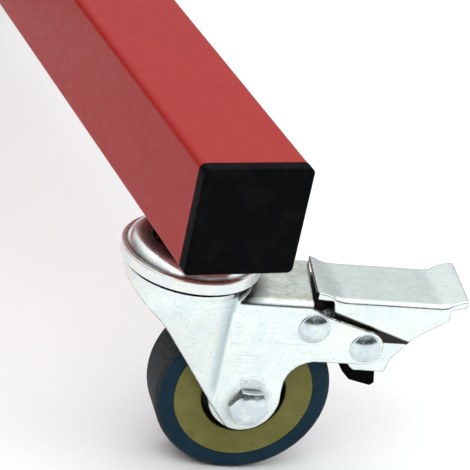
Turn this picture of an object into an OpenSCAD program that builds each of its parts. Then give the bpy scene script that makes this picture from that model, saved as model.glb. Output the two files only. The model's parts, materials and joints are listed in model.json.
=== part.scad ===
// Wheel dolly: a welded square-tube frame on four swivel castors with brake pedals.
// Millimetres. +Z is up, the floor is z = 0, and the origin is under the middle of the frame.
// +X is across the dolly, from the left runner to the right runner; -Y is the front.

/* [Frame] */
// Length of each runner tube
runner_length = 600; // [500:10:700]
// Distance between the centre lines of the two runners
track_width = 450; // [400:10:600]
// Side of the square tube
tube_side = 50; // [50:1:60]
// Wall thickness of the square tube
tube_wall = 2; // [1.5:0.25:3]
// Outside corner radius of the square tube
tube_corner = 3; // [3:0.5:5]
// Thickness of the end cap outside the tube
cap_flange = 6.7; // [4:0.1:10]
// Length of the end cap's plug inside the tube
cap_plug = 16; // [10:1:18]
// Distance from the end of a runner to the swivel axis
castor_inset = 40; // [40:1:60]

/* [Castor] */
// Height of the tube's underside above the floor
castor_height = 120; // [120:1:124]
// Diameter of the wheel over its tread
wheel_diameter = 80; // [78:0.5:80]
// Width of the tyre
wheel_width = 25.4; // [22:0.1:27]
// Distance of the axle behind the swivel axis
wheel_offset = 33.5; // [32:0.5:35]
// Thickness of the pressed steel sheet of the fork
sheet = 2.5; // [2:0.1:2.5]
// Width of the fork over its two cheeks
fork_width = 40.8; // [40:0.1:42]
// Diameter of the swivel head's upper race
head_diameter = 63; // [62:0.5:64]
// Diameter of the fork's round crown
crown_diameter = 56; // [55:0.5:57]
// Diameter of the axle bolt
axle_diameter = 10; // [8:1:10]
// Diameter of the threaded stem
stem_diameter = 12; // [10:1:12]
// Angle that each castor is turned away from straight across the dolly
castor_turn = 10; // [0:1:30]

/* [Brake] */
// Width of the pedal over its side walls
pedal_width = 35; // [30:0.5:35]
// Thickness of the pedal's sheet
pedal_sheet = 2; // [1.5:0.1:2.2]
// Distance of the pedal's tip behind the swivel axis
pedal_reach = 127; // [120:1:135]
// Angle through which the pedal is pressed to put the brake on
pedal_travel = 24; // [20:1:26]
// Gap left between the brake shoe and the tread when the brake is on
shoe_gap = 0.35; // [0.3:0.05:0.6]

/* [Hidden] */
CORNERS = ["front_right", "front_left", "rear_right", "rear_left"];
FRAME_NODES = ["runner_left", "runner_right", "cross_beam", "stem_bolts", "stem_nuts",
    "stem_washers", "swivel_balls"];
CORNER_NODES = ["end_cap", "top_race", "lower_race", "fork", "axle_bolt", "axle_nut", "axle_bush",
    "wheel_centre", "tyre", "brake_rivets", "brake_pedal", "brake_shoe", "brake_spring"];

$fn = 64;
// Radial clearance of a running fit
running = 0.07;

// The side of each corner: x is +1 on the right, y is -1 at the front
CORNER_SIDE = [[1, -1], [-1, -1], [1, 1], [-1, 1]];

tube_z = castor_height + tube_side / 2;
axle_z = wheel_diameter / 2;
half_fork = fork_width / 2;
half_pedal = pedal_width / 2;
head_r = head_diameter / 2;
crown_r = crown_diameter / 2;
axle_r = axle_diameter / 2;
stem_r = stem_diameter / 2;
rivet_r = 3.5;

// Heights of the swivel head
crown_top = 97;
crown_skirt = 89;
race_bottom = 100.5;
race_shoulder = 106;
race_top = 111;
race_floor = 104.5;
track_top = 105.2;
lower_race_bottom = 86.5;
washer = 2.5;

// Ball tracks of the swivel head: [pitch radius, ball radius, height, count]
UPPER_BALLS = [23.5, 4, (crown_top + track_top) / 2, 12];
LOWER_BALLS = [13, 2.9, (lower_race_bottom + 2 + crown_top - sheet) / 2, 8];

// The fixed rivet and the pedal's pivot, in x and z from under the swivel axis
SPACER_RIVET = [56, 81];
PIVOT_RIVET = [81.3, 72.5];

// The arm's top plate and the pedal's top
plate_top = 93.5;
plate_end = 53.8;
arm_start = 22;
pedal_top = 94.4;

// An arc of n + 1 points about c from angle a to angle b
function arc(c, r, a, b, n) = [for (i = [0 : n]) c + r * [cos(a + (b - a) * i / n), sin(a + (b - a) * i / n)]];

// Puts a castor part at one corner of the frame, turned to its trail direction
module at_corner(i) {
    side = CORNER_SIDE[i];
    turn = side.x > 0 ? side.y * castor_turn : 180 - side.y * castor_turn;
    translate([side.x * track_width / 2, side.y * (runner_length / 2 - castor_inset), 0])
        rotate([0, 0, turn]) children();
}

// Extrudes an outline drawn in x and z between two values of y
module across(y_low, y_high) {
    translate([0, y_high, 0]) rotate([90, 0, 0]) linear_extrude(y_high - y_low) children();
}

// Turns an outline of radius and offset about a cross axis at p
module turned(p) {
    translate([p.x, 0, p.y]) rotate([90, 0, 0]) rotate_extrude($fn = 96) children();
}

module square_ring(side, wall, corner) {
    difference() {
        rounded_square(side, corner);
        rounded_square(side - 2 * wall, max(corner - wall, 0.5));
    }
}

// A square with round corners, built from squares and circles so that its edges stay true arcs
module rounded_square(side, corner) {
    flat = side - 2 * corner;
    square([side, flat], center = true);
    square([flat, side], center = true);
    for (x = [-1, 1], y = [-1, 1]) translate([x * flat / 2, y * flat / 2]) circle(corner, $fn = 32);
}

// ---- Frame ----

// A runner tube along y with a stem hole near each end
module runner() {
    color("firebrick") difference() {
        translate([0, runner_length / 2, tube_z]) rotate([90, 0, 0])
            linear_extrude(runner_length) square_ring(tube_side, tube_wall, tube_corner);
        for (y = [-1, 1]) translate([0, y * (runner_length / 2 - castor_inset), castor_height - 1])
            cylinder(h = tube_wall + 2, r = stem_r + 0.2);
    }
}

module runner_left() translate([-track_width / 2, 0, 0]) runner();
module runner_right() translate([track_width / 2, 0, 0]) runner();

// The beam between the runners, welded to their inner sides
module cross_beam() {
    length = track_width - tube_side;
    color("firebrick") translate([-length / 2, 0, tube_z]) rotate([90, 0, 90])
        linear_extrude(length) square_ring(tube_side, tube_wall, tube_corner);
}

// A moulded cap: a bevelled flange and a hollow plug with grip ribs, drawn at the front end
module end_cap(i) {
    plug_side = tube_side - 2 * tube_wall - 0.6;
    bevel = 1;
    side = CORNER_SIDE[i];
    color("#151618") translate([side.x * track_width / 2, side.y * runner_length / 2, tube_z])
        rotate([90, 0, side.y < 0 ? 0 : 180]) {
            linear_extrude(cap_flange - bevel) rounded_square(tube_side, 2);
            translate([0, 0, cap_flange - bevel]) linear_extrude(bevel) rounded_square(tube_side - bevel, 1.5);
            translate([0, 0, -cap_plug]) linear_extrude(cap_plug) square_ring(plug_side, 2.2, 1.5);
            for (turn = [0, 90]) rotate([0, 0, turn]) translate([-plug_side / 2 + 1, -0.8, -cap_plug + 2])
                cube([plug_side - 2, 1.6, cap_plug - 2]);
        }
}

// ---- Swivel head ----

// The pressed upper race: a low wall, a rounded dome over the balls, and a cup round the stem
module top_race() {
    wall = 2.2;
    mouth_r = 19.3;
    cup_r = 17.5;
    dome = [for (a = [0 : 10 : 90]) [mouth_r + (head_r - mouth_r) * cos(a), race_shoulder
        + (race_top - race_shoulder) * sin(a)]];
    outline = concat(
        [[stem_r + 0.05, race_floor], [cup_r, race_floor], [cup_r, race_top - 1.5]],
        [for (i = [9 : -1 : 0]) dome[i]],
        [[head_r, race_bottom], [head_r - wall, race_bottom], [head_r - wall, track_top - 1.5],
         [head_r - wall - 1.5, track_top], [cup_r + 2, track_top], [cup_r + 1.5, race_floor - wall],
         [stem_r + 0.05, race_floor - wall]]);
    color("silver") rotate_extrude($fn = 96) polygon(outline);
}

// The dished lower race that carries the second row of balls
module lower_race() {
    floor_top = lower_race_bottom + 2;
    rim_r = 19;
    color("silver") rotate_extrude($fn = 96) polygon([
        [stem_r + 0.05, lower_race_bottom], [rim_r, lower_race_bottom], [rim_r, floor_top + 4],
        [rim_r - 2, floor_top + 4], [rim_r - 2, floor_top], [stem_r + 0.05, floor_top]]);
}

module ball_row(row) {
    for (i = [0 : row[3] - 1]) rotate([0, 0, i * 360 / row[3]])
        translate([row[0], 0, row[2]]) sphere(row[1], $fn = 32);
}

// Both ball rows of every castor
module swivel_balls() {
    color("gainsboro") for (i = [0 : 3]) at_corner(i) {
        ball_row(UPPER_BALLS);
        ball_row(LOWER_BALLS);
    }
}

// A stem with a riveted foot under the lower race and a hexagon collar under the tube
module stem() {
    foot = 3;
    collar_across_flats = 19;
    stem_end = castor_height + tube_wall + washer + 14;
    translate([0, 0, lower_race_bottom - foot]) cylinder(h = foot, r = stem_r + 5);
    translate([0, 0, lower_race_bottom - 1]) cylinder(h = stem_end - lower_race_bottom + 1, r = stem_r);
    translate([0, 0, race_floor]) rotate([0, 0, 30])
        cylinder(h = castor_height - washer - race_floor, r = collar_across_flats / 2 / cos(30), $fn = 6);
}

module stem_bolts() {
    color("silver") for (i = [0 : 3]) at_corner(i) stem();
}

module stem_nuts() {
    across_flats = 18;
    color("silver") for (i = [0 : 3]) at_corner(i)
        translate([0, 0, castor_height + tube_wall + washer]) difference() {
            cylinder(h = 10, r = across_flats / 2 / cos(30), $fn = 6);
            translate([0, 0, -1]) cylinder(h = 12, r = stem_r + 0.05);
        }
}

// One washer under each tube and one inside it
module stem_washers() {
    color("silver") for (i = [0 : 3]) at_corner(i)
        for (z = [castor_height - washer, castor_height + tube_wall]) translate([0, 0, z]) difference() {
            cylinder(h = washer, r = 12);
            translate([0, 0, -1]) cylinder(h = washer + 2, r = stem_r + 0.2);
        }
}

// ---- Fork ----

CREASE_X = 17.2;
CREASE_FOOT = 49;
axle = [wheel_offset, axle_z];
LOBE = [axle + [-2, 1], 15];
END_LOBE_R = 8.6;
FRONT_EDGE = [[-24.7, 91], [-11.1, 77.3], [10, 48.6], [17.5, 37]];
INNER_FILLET = arc([58.5, 52.5], 11, 180, 90, 6);
TOP_SLOPE = [[PIVOT_RIVET.x + 2, PIVOT_RIVET.y + 8], [60, 87.7], [plate_end, 91], [plate_end, plate_top]];

// The flat outline of one cheek: the axle leg, its lobe, and the arm that carries the brake
module cheek_outline() {
    polygon(concat(FRONT_EDGE, [[46.5, axle_z]], INNER_FILLET, [[PIVOT_RIVET.x, PIVOT_RIVET.y - END_LOBE_R]],
        TOP_SLOPE, [[FRONT_EDGE[0].x, plate_top]]));
    translate(LOBE[0]) circle(LOBE[1]);
    translate(PIVOT_RIVET) circle(END_LOBE_R);
}

// The part of the leg in front of the crease, where the sheet swells out to the round crown
module swelling(y_side) {
    mirror([0, y_side < 0 ? 1 : 0, 0]) intersection() {
        difference() {
            swell_hull(0);
            swell_hull(sheet);
        }
        across(half_fork - sheet, crown_r) polygon(concat(FRONT_EDGE, [[CREASE_X + 8, CREASE_FOOT],
            [CREASE_X, CREASE_FOOT], [CREASE_X, crown_skirt + 1], [FRONT_EDGE[0].x, crown_skirt + 1]]));
    }
}

// A solid from just inside the crown's arc down to the cheek's plane, pulled in by the given depth
module swell_hull(depth) {
    arc_r = crown_r - 0.05 - depth;
    face = half_fork - depth;
    low = half_fork - 2 * sheet;
    x_front = -sqrt(arc_r * arc_r - face * face);
    hull() {
        translate([0, 0, crown_skirt + 1]) linear_extrude(0.01) intersection() {
            circle(arc_r);
            translate([x_front, low]) square([CREASE_X - x_front, crown_r]);
        }
        translate([x_front, low, CREASE_FOOT]) cube([CREASE_X - x_front, face - low, 0.01]);
    }
}

// The crown's flat top and skirt, cut away underneath where the arm leaves it
module crown() {
    difference() {
        translate([0, 0, crown_skirt]) cylinder(h = crown_top - crown_skirt, r = crown_r, $fn = 96);
        translate([0, 0, crown_skirt - 1])
            cylinder(h = crown_top - sheet - crown_skirt + 1, r = crown_r - sheet, $fn = 96);
        translate([CREASE_X, -crown_r, crown_skirt - 1])
            cube([crown_r, crown_r * 2, plate_top - sheet - crown_skirt + 1]);
    }
}

module fork() {
    color("silver") difference() {
        union() {
            crown();
            for (side = [-1, 1]) {
                difference() {
                    across(side * half_fork - (side > 0 ? sheet : 0), side * half_fork + (side > 0 ? 0 : sheet))
                        cheek_outline();
                    translate([-crown_r, -crown_r, CREASE_FOOT + 22])
                        cube([crown_r + CREASE_X - sheet, crown_r * 2, crown_r]);
                }
                swelling(side);
            }
            translate([arm_start, -half_fork, plate_top - sheet])
                cube([plate_end - arm_start, fork_width, sheet]);
        }
        translate([0, 0, crown_top - sheet - 1]) cylinder(h = sheet + 2, r = stem_r + running);
        across(-half_fork - 1, half_fork + 1) translate(axle) circle(axle_r + 0.1);
        for (p = [SPACER_RIVET, PIVOT_RIVET]) across(-half_fork - 1, half_fork + 1)
            translate(p) circle(rivet_r + 0.05);
    }
}

// ---- Wheel ----

// A hexagon with its outer corners chamfered, lying from y = 0 towards -y
module hexagon_head(across_flats, height) {
    corner_r = across_flats / 2 / cos(30);
    rotate([90, 0, 0]) intersection() {
        cylinder(h = height, r = corner_r, $fn = 6);
        rotate_extrude($fn = 96) polygon([[0, 0], [corner_r, 0], [corner_r, height - 0.9],
            [across_flats / 2 - 0.4, height], [0, height]]);
    }
}

// The axle bolt, with its hexagon head on the -y side
module axle_bolt() {
    color("silver") translate([axle.x, 0, axle.y]) {
        translate([0, -half_fork, 0]) hexagon_head(17, 5.5);
        across(-half_fork - 1, half_fork + 11) circle(axle_r);
    }
}

module axle_nut() {
    color("silver") translate([axle.x, half_fork, axle.y]) difference() {
        mirror([0, 1, 0]) hexagon_head(17, 8);
        across(-1, 10) circle(axle_r + 0.05);
    }
}

// A steel sleeve clamped between the cheeks, on which the wheel turns
module axle_bush() {
    half_length = half_fork - sheet;
    color("dimgray") turned(axle) polygon([[axle_r + 0.05, -half_length], [axle_r + 2, -half_length],
        [axle_r + 2, half_length], [axle_r + 0.05, half_length]]);
}

rim_r = wheel_diameter / 2 - 8.3;

// The moulded wheel centre: a flat disc to the rim, and a hub standing in a recess on each side
module wheel_centre() {
    hub_half = half_fork - sheet - 0.4;
    bore_r = axle_r + 2 + running;
    hub_r = 12.5;
    recess_r = 19.2;
    face = wheel_width / 2 - 0.2;
    half = [[bore_r, hub_half], [hub_r, hub_half], [hub_r + 0.7, face - 7], [recess_r - 0.7, face - 7],
        [recess_r, face], [rim_r, face]];
    color("#6c673a") turned(axle) polygon(concat(half,
        [for (i = [len(half) - 1 : -1 : 0]) [half[i].x, -half[i].y]]));
}

// A solid tyre with rounded shoulders
module tyre() {
    shoulder = 3;
    tread_r = wheel_diameter / 2;
    corner = [tread_r - shoulder, wheel_width / 2 - shoulder];
    outline = concat([[rim_r, -wheel_width / 2]], arc([corner.x, -corner.y], shoulder, -90, 0, 6),
        arc(corner, shoulder, 0, 90, 6), [[rim_r, wheel_width / 2]]);
    color("#20374a") turned(axle) polygon(outline);
}

// ---- Brake ----

// A rivet through both cheeks with a domed head at each end
module rivet(p, head) {
    dome = 2.9;
    sphere_r = (head * head + dome * dome) / (2 * dome);
    rise = asin(head / sphere_r);
    half = concat([[rivet_r, half_fork], [head, half_fork]],
        arc([0, half_fork + dome - sphere_r], sphere_r, 90 - rise, 90, 6));
    turned(p) polygon(concat(half, [for (i = [len(half) - 1 : -1 : 0]) [half[i].x, -half[i].y]]));
}

module brake_rivets() {
    color("silver") {
        rivet(SPACER_RIVET, 7.25);
        rivet(PIVOT_RIVET, 7);
    }
}

// The lower edge of the pedal's side walls, from the tip round the shoe to the arm
PEDAL_WALL = concat(
    [[63.5, pedal_top - 0.5], [pedal_reach - 9, pedal_top - 0.5], [pedal_reach - 8.5, 88.3], [110.5, 82]],
    [[103.5, 75.7], [97.9, 69.5], [95, 64], [94, 59.5], [91.4, 58.8], [79.4, 59.2], [77, 60.8], [72, 68],
     [66, 82]]);

// The pedal's top sheet seen from the side: a lip at the fork end and a raised tip
PEDAL_TOP = [[56.5, pedal_top + 2.6], [59.5, pedal_top], [pedal_reach - 9, pedal_top],
    [pedal_reach, pedal_top + 3.2]];

module brake_pedal() {
    top = concat(PEDAL_TOP, [for (i = [3 : -1 : 0]) PEDAL_TOP[i] - [i == 0 ? 0 : 0.3, pedal_sheet]]);
    color("silver") difference() {
        union() {
            across(-half_pedal, half_pedal) polygon(top);
            for (side = [-1, 1]) {
                inner = side * (half_pedal - pedal_sheet);
                outer = side * half_pedal;
                across(min(inner, outer), max(inner, outer)) polygon(PEDAL_WALL);
            }
        }
        across(-half_pedal - 1, half_pedal + 1) translate(PIVOT_RIVET) circle(rivet_r + running);
    }
}

// A point of the pressed brake, turned back about the pivot to where it is with the brake off
function released(p) = PIVOT_RIVET + [
    (p - PIVOT_RIVET) * [cos(pedal_travel), -sin(pedal_travel)],
    (p - PIVOT_RIVET) * [sin(pedal_travel), cos(pedal_travel)]];

// The rubber shoe between the pedal's walls, with a face that meets the tread when pressed
module brake_shoe() {
    wide = half_pedal - pedal_sheet;
    narrow = 12;
    face = [for (p = arc(axle, wheel_diameter / 2 + shoe_gap, 27, 18, 4)) released(p)];
    block = [[76.5, 60], [77.5, 68], [91, 68], [92, 60]];
    toe = [[87, 49], [91, 48], [93, 49.5]];
    color("#141414") {
        across(-wide, wide) polygon(block);
        across(-narrow, narrow) polygon(concat([block[1], block[0]], face, toe, [block[3], block[2]]));
    }
}

// A broad leaf spring wrapped round the fixed rivet, reaching under the pedal's top
module brake_spring() {
    leaf = 0.8;
    width = 28;
    eye = rivet_r + 0.15;
    top = SPACER_RIVET.y + eye;
    tip = [72, top + 5.5];
    color("#1c1c1e") across(-width / 2, width / 2) difference() {
        union() {
            translate(SPACER_RIVET) circle(eye + leaf);
            polygon([[SPACER_RIVET.x, top], tip, tip + [0, leaf], [SPACER_RIVET.x - 1, top + leaf]]);
        }
        translate(SPACER_RIVET) circle(eye);
    }
}

// ---- Assembly ----

runner_left();
runner_right();
cross_beam();
stem_bolts();
stem_nuts();
stem_washers();
swivel_balls();

for (i = [0 : 3]) {
    end_cap(i);
    at_corner(i) top_race();
    at_corner(i) lower_race();
    at_corner(i) fork();
    at_corner(i) axle_bolt();
    at_corner(i) axle_nut();
    at_corner(i) axle_bush();
    at_corner(i) wheel_centre();
    at_corner(i) tyre();
    at_corner(i) brake_rivets();
    at_corner(i) brake_pedal();
    at_corner(i) brake_shoe();
    at_corner(i) brake_spring();
}
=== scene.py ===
import json
import math

import bmesh
import bpy
import numpy as np
from mathutils import Matrix, Vector


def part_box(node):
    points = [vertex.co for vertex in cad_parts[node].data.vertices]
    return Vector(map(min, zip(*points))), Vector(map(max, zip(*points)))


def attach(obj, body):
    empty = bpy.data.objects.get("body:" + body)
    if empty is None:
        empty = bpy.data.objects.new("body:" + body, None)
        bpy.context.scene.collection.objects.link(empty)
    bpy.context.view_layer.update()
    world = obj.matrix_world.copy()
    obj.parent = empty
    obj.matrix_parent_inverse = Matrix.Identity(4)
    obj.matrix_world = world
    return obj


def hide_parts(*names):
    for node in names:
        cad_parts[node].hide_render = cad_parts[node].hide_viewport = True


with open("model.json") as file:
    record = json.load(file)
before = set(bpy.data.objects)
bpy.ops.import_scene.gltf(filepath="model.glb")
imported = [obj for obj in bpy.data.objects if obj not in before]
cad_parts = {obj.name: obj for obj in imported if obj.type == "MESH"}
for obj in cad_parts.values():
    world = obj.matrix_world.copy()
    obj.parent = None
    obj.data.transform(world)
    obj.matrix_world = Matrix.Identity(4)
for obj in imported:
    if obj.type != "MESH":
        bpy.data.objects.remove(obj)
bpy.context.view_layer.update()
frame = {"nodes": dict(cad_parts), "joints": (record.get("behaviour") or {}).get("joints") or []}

# A wheel dolly: a red square-tube frame on four swivel castors with brake pedals.
# A castor's pieces are made once in the castor's own millimetres, x along its trail, z up from the
# floor under the swivel axis, and the bolt head's side towards -y. Each is then set at four corners.

MM = 0.001
CORNERS = ("front_right", "front_left", "rear_right", "rear_left")
JOINTS = {joint["name"]: joint for joint in frame["joints"]}


def placement(corner):
    """Where a castor stands: its trail as x, its axle as y, and the floor under the swivel as origin."""
    swivel = Vector(JOINTS["swivel_" + corner]["pos_m"])
    across = Vector(JOINTS["wheel_spin_" + corner]["axis"])
    up = Vector((0, 0, 1))
    trail = across.cross(up)
    matrix = Matrix((trail, across, up)).transposed().to_4x4()
    matrix.translation = (swivel.x, swivel.y, 0)
    return matrix


placements = {corner: placement(corner) for corner in CORNERS}


def joint_place(name):
    """Where a joint of the front right castor is, as (x, z) in the castor's millimetres."""
    point = placements["front_right"].inverted() @ Vector(JOINTS[name]["pos_m"]) / MM
    return np.array([point.x, point.z])


# The axle, the pedal's rivet, and the fixed rivet in front of it
AXLE = joint_place("wheel_spin_front_right")
PIVOT = joint_place("brake_front_right")
SPACER = PIVOT + [-25.3, 8.5]

crown_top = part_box("fork_front_right")[1].z / MM
race_low, race_high = (corner.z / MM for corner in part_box("top_race_front_right"))
tread_r = (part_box("tyre_front_right")[1].z / MM) / 2
tube_low, tube_high = (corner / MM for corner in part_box("runner_right"))

# The fork: its sheet, half its width over the cheeks, its round crown, the boss pressed round the axle,
# the top and end of the plate over its arm, and its holes
SHEET = 2.5
HALF_FORK = 20.4
CROWN_R = 28
BOSS = 1.5
PLATE_TOP = 93.5
PLATE_END = 53.8
AXLE_HOLE_R = 5.1
RIVET_HOLE_R = 3.55
STEM_HOLE_R = 6.1

# The pedal's sheet, half its width and the height of its tread
PEDAL_SHEET = 2
HALF_PEDAL = 17.5
PEDAL_TOP = 94.4

# Half the tyre's width, and the radius where it meets the wheel's centre
HALF_TYRE = 12.7
RIM_R = tread_r - 8.3


# ---- Shapes ----

def outline(*corners):
    """A closed outline from corners (x, z, radius), with each corner rounded to its radius."""
    points = []
    for i, (x, z, radius) in enumerate(corners):
        here = Vector((x, z))
        if radius == 0:
            points.append(tuple(here))
            continue
        back = (Vector(corners[i - 1][:2]) - here).normalized()
        ahead = (Vector(corners[(i + 1) % len(corners)][:2]) - here).normalized()
        half = back.angle(ahead) / 2
        centre = here + (back + ahead).normalized() * radius / math.sin(half)
        first = here + back * radius / math.tan(half) - centre
        last = here + ahead * radius / math.tan(half) - centre
        sweep = first.angle_signed(last)
        steps = max(2, math.ceil(abs(sweep) / math.radians(12)))
        points += [tuple(centre + Matrix.Rotation(-sweep * k / steps, 2) @ first) for k in range(steps + 1)]
    return np.array(points)


def rounded_max(a, b, radius):
    """The overlap of two solids given by distances, with the edge between them rounded."""
    corner = np.hypot(np.maximum(a + radius, 0), np.maximum(b + radius, 0))
    return np.minimum(np.maximum(a, b), -radius) + corner


def rounded_min(a, b, radius):
    """The union of two solids given by distances, with the valley between them filled."""
    return -rounded_max(-a, -b, radius)


def from_point(x, z, point):
    return np.hypot(x - point[0], z - point[1])


def from_axle(x, z):
    return from_point(x, z, AXLE)


def from_line(x, z, start, end):
    """The signed distance of (x, z) to the left of a line from start to end."""
    along = np.subtract(end[:2], start[:2]) / np.hypot(*np.subtract(end[:2], start[:2]))
    return along[0] * (z - start[1]) - along[1] * (x - start[0])


def smooth_step(value):
    value = np.clip(value, 0, 1)
    return value * value * (3 - 2 * value)


def from_outline(points, x, z):
    """The distance from (x, z) to a closed outline, negative inside it."""
    nearest = np.inf
    inside = False
    for (ax, az), (bx, bz) in zip(points, np.roll(points, -1, axis=0)):
        side_x, side_z = bx - ax, bz - az
        along = ((x - ax) * side_x + (z - az) * side_z) / (side_x ** 2 + side_z ** 2)
        along = np.clip(along, 0, 1)
        off_x = x - ax - along * side_x
        off_z = z - az - along * side_z
        nearest = np.minimum(nearest, off_x * off_x + off_z * off_z)
        if side_z != 0:
            crosses = (az > z) != (bz > z)
            inside = inside ^ (crosses & (x < side_x * (z - az) / side_z + ax))
    return np.where(inside, -1, 1) * np.sqrt(nearest)


def settled(points, shape, reach):
    """Moves points onto the surface of a shape, along its slope."""
    small = 0.02
    value = shape(*points.T)
    steps = np.eye(3) * small
    slope = np.stack([shape(*(points + step).T) - shape(*(points - step).T) for step in steps], 1)
    slope /= 2 * small
    move = slope * (value / np.maximum((slope ** 2).sum(1), 0.2))[:, None]
    return points - np.clip(move, -reach, reach)


def relaxed(points, faces):
    """Moves each point half way to the middle of its neighbours."""
    ends = np.concatenate([faces[:, [k, (k + 1) % 4]] for k in range(4)])
    ends = np.concatenate([ends, ends[:, ::-1]])
    count = np.bincount(ends[:, 0], minlength=len(points))
    middle = [np.bincount(ends[:, 0], points[ends[:, 1], k], len(points)) / count for k in range(3)]
    return (points + np.stack(middle, 1)) / 2


def surface_of(shape, low, high, step):
    """Points and four-sided faces on the surface where a shape's distance is zero."""
    low = np.array(low, float)
    axes = [np.arange(a, b + step, step) for a, b in zip(low, high)]
    field = shape(*np.meshgrid(*axes, indexing="ij", sparse=True))
    field = np.broadcast_to(field, [len(axis) for axis in axes])
    solid = field < 0
    sizes = np.array(field.shape) - 1
    corners = np.array([[i, j, k] for i in (0, 1) for j in (0, 1) for k in (0, 1)])
    filled = sum(solid[i:i + sizes[0], j:j + sizes[1], k:k + sizes[2]].astype(np.int8)
                 for i, j, k in corners)
    active = (filled > 0) & (filled < 8)
    cells = np.argwhere(active)
    number = np.full(active.shape, -1)
    number[active] = np.arange(len(cells))
    points = low + (cells + 0.5) * step
    faces = []
    for axis in range(3):
        u, v = (axis + 1) % 3, (axis + 2) % 3
        one, other = [slice(None)] * 3, [slice(None)] * 3
        one[axis], other[axis] = slice(None, -1), slice(1, None)
        edges = np.argwhere(solid[tuple(one)] != solid[tuple(other)])
        keep = (edges[:, u] > 0) & (edges[:, u] < sizes[u]) & (edges[:, v] > 0) & (edges[:, v] < sizes[v])
        edges = edges[keep]
        around = []
        for du, dv in ((1, 1), (0, 1), (0, 0), (1, 0)):
            cell = edges.copy()
            cell[:, u] -= du
            cell[:, v] -= dv
            around.append(number[tuple(cell.T)])
        quads = np.stack(around, 1)
        outward = solid[tuple(edges.T)]
        faces.append(np.where(outward[:, None], quads, quads[:, ::-1]))
    faces = np.concatenate(faces)
    for _ in range(6):
        points = settled(relaxed(points, faces), shape, step)
    return settled(points, shape, step), faces


def turned(profile, steps=144):
    """Points and faces of a closed profile (radius, height) turned about the z axis."""
    angles = np.arange(steps) * 2 * np.pi / steps
    rings = [np.stack([r * np.cos(angles), r * np.sin(angles), np.full(steps, h)], 1) for r, h in profile]
    return np.concatenate(rings), joined_rings(len(profile), steps, closed=True)


def joined_rings(count, steps, closed=False):
    """Four-sided faces between neighbouring rings of points."""
    index = np.arange(count * steps).reshape(count, steps)
    following = np.roll(index, -1, axis=0) if closed else index[1:]
    index = index if closed else index[:-1]
    sides = [index, np.roll(index, -1, 1), np.roll(following, -1, 1), following]
    return np.stack([side.ravel() for side in sides], 1)


def lofted(rings):
    """Points and faces of rings of points, joined in order and closed flat at both ends."""
    steps = len(rings[0])
    faces = joined_rings(len(rings), steps).tolist()
    last = (len(rings) - 1) * steps
    faces += [list(range(steps))[::-1], list(range(last, last + steps))]
    return np.concatenate(rings), faces


def across(points, faces, centre=(0, 0)):
    """Turns a shape's z axis to run across the castor, along y, through a centre (x, z)."""
    x, y, z = np.array(points).T
    return np.stack([x + centre[0], z, centre[1] - y], 1), faces


def plate(points, y_low, y_high):
    """Points and faces of an outline in x and z between two values of y."""
    rings = [np.stack([points[:, 0], np.full(len(points), y), points[:, 1]], 1) for y in (y_low, y_high)]
    return lofted(rings)


def together(*shapes):
    """Several lots of points and faces as one."""
    points, faces, start = [], [], 0
    for shape_points, shape_faces in shapes:
        points.append(np.array(shape_points))
        faces += [[start + int(index) for index in face] for face in shape_faces]
        start += len(shape_points)
    return np.concatenate(points), faces


def mesh_of(name, shape):
    """A mesh in metres from points in millimetres and faces, smooth, with its faces turned outward."""
    points, faces = shape
    mesh = bpy.data.meshes.new(name)
    faces = faces.tolist() if isinstance(faces, np.ndarray) else faces
    mesh.from_pydata((np.array(points) * MM).tolist(), [], faces)
    work = bmesh.new()
    work.from_mesh(mesh)
    bmesh.ops.recalc_face_normals(work, faces=work.faces)
    work.to_mesh(mesh)
    work.free()
    mesh.shade_smooth()
    return mesh


def paint(mesh, name, amount):
    """Stores an amount from 0 to 1 at each point of a mesh, worked out from its place in millimetres."""
    places = np.array([vertex.co for vertex in mesh.vertices]) / MM
    values = np.clip(amount(*places.T), 0, 1)
    mesh.attributes.new(name, "FLOAT", "POINT").data.foreach_set("value", values.astype(np.float32))


def set_piece(name, mesh, finish, body, nodes, matrix, bevel, number):
    """One visible piece: its mesh, finish, body, the CAD nodes that it stands for, and its place.

    A bevel of None is for a mesh with rounded edges of its own, whose normals are left alone.
    The number makes the marks on like pieces differ.
    """
    piece = bpy.data.objects.new(name, mesh)
    bpy.context.scene.collection.objects.link(piece)
    if not mesh.materials:
        mesh.materials.append(FINISHES[finish])
    piece.matrix_world = matrix
    if bevel:
        rounding = piece.modifiers.new("edges", "BEVEL")
        rounding.width = bevel * MM
        rounding.segments = 3
        rounding.limit_method = "ANGLE"
        rounding.angle_limit = math.radians(35)
    if bevel is not None:
        piece.modifiers.new("normals", "WEIGHTED_NORMAL").keep_sharp = True
    piece.pass_index = number
    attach(piece, body)
    if nodes:
        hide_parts(*nodes)


def at_corners(name, shape, finish, body, node, bevel=0.0, slot=None, **paints):
    """The same piece at each of the four castors, with what is painted on it."""
    mesh = mesh_of(name, shape)
    for paint_name, amount in paints.items():
        paint(mesh, paint_name, amount)
    for number, corner in enumerate(CORNERS):
        body_name = body if body == "frame" else f"{body}_{corner}"
        set_piece(f"{name}_{corner}", mesh, finish, body_name, [f"{node}_{corner}"],
                  placements[corner], bevel, number)


# ---- Materials ----

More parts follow.
